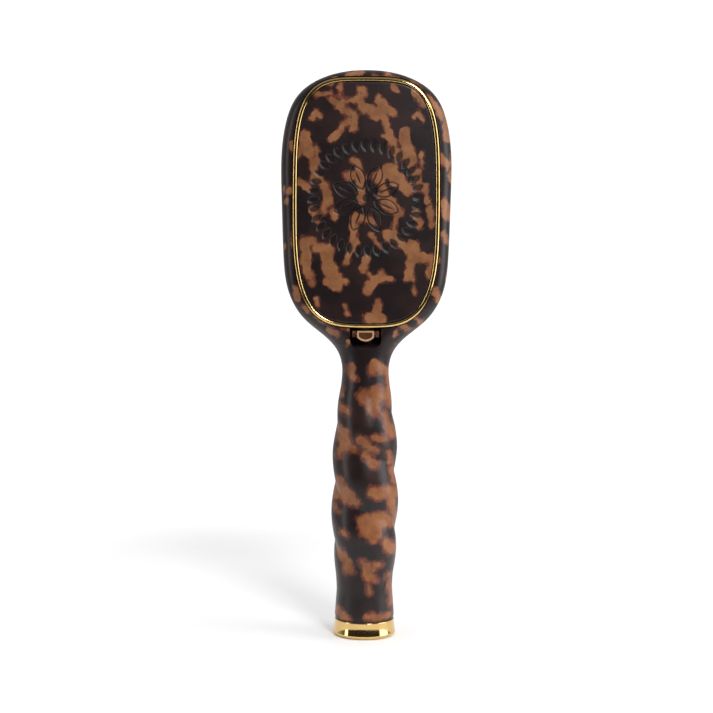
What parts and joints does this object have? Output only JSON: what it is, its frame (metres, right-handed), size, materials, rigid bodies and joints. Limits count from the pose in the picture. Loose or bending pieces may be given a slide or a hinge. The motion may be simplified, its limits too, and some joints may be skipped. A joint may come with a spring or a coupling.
{
  "type": "vanity hairbrush",
  "caption": "Paddle hairbrush with a twisted handle, a pin cushion on one side and a hinged, latched lid over a mirror and storage compartment on the other.",
  "frame": {"origin": "centre of the end cap's flat bottom face", "axes": "+Z from the end cap up the handle to the crown of the head, +Y towards the pins, +X to the right when the lid is seen from the front with the head up"},
  "size_m": [0.072, 0.0436, 0.2398],
  "materials": {
    "tortoise": "polished dark brown and amber tortoiseshell",
    "brown_plastic": "satin moulded",
    "dark_plastic": "satin moulded",
    "gold": "polished, pale gold plated",
    "steel": "bright",
    "mirror": "silvered glass",
    "felt": "short dark flock",
    "foam_tape": "thin adhesive foam",
    "cushion": "satin soft rubber",
    "pin_nylon": "satin nylon",
    "pin_tip": "glossy rounded ends",
    "gasket": "matt"
  },
  "bodies": {
    "brush": {"brush_body": "tortoise", "compartment_liner": "dark_plastic", "liner_pad": "felt", "hinge_bracket": "dark_plastic", "bracket_screws": "steel", "hinge_pin": "steel", "latch_pin": "steel", "latch_spring": "steel", "cushion_plate": "dark_plastic", "plate_screws": "steel", "pad_cushion": "cushion", "cushion_trim": "gold", "bristle_pins": "pin_nylon", "pin_tips": "pin_tip", "end_cap": "gold", "cap_plug": "dark_plastic", "cap_stud": "steel", "cap_gasket": "gasket"},
    "lid": {"lid_base": "brown_plastic", "lid_panel": "tortoise", "lid_ring": "gold", "lid_catch": "steel", "mirror_frame": "gold", "mirror_glass": "mirror", "mirror_tape": "foam_tape"},
    "latch": {"latch_lever": "tortoise"}
  },
  "joints": [
    {"name": "lid_hinge", "type": "hinge", "parent": "brush", "child": "lid", "pos_m": [0, -0.009, 0.2295], "axis": [-1, 0, 0], "range_deg": [0, 90]},
    {"name": "latch_pivot", "type": "hinge", "parent": "brush", "child": "latch", "pos_m": [0, -0.0046, 0.1294], "axis": [1, 0, 0], "range_deg": [0, 16], "stiffness_Nm_per_rad": 0.006, "springref_deg": -11.46, "deforming": ["latch_spring"]}
  ]
}
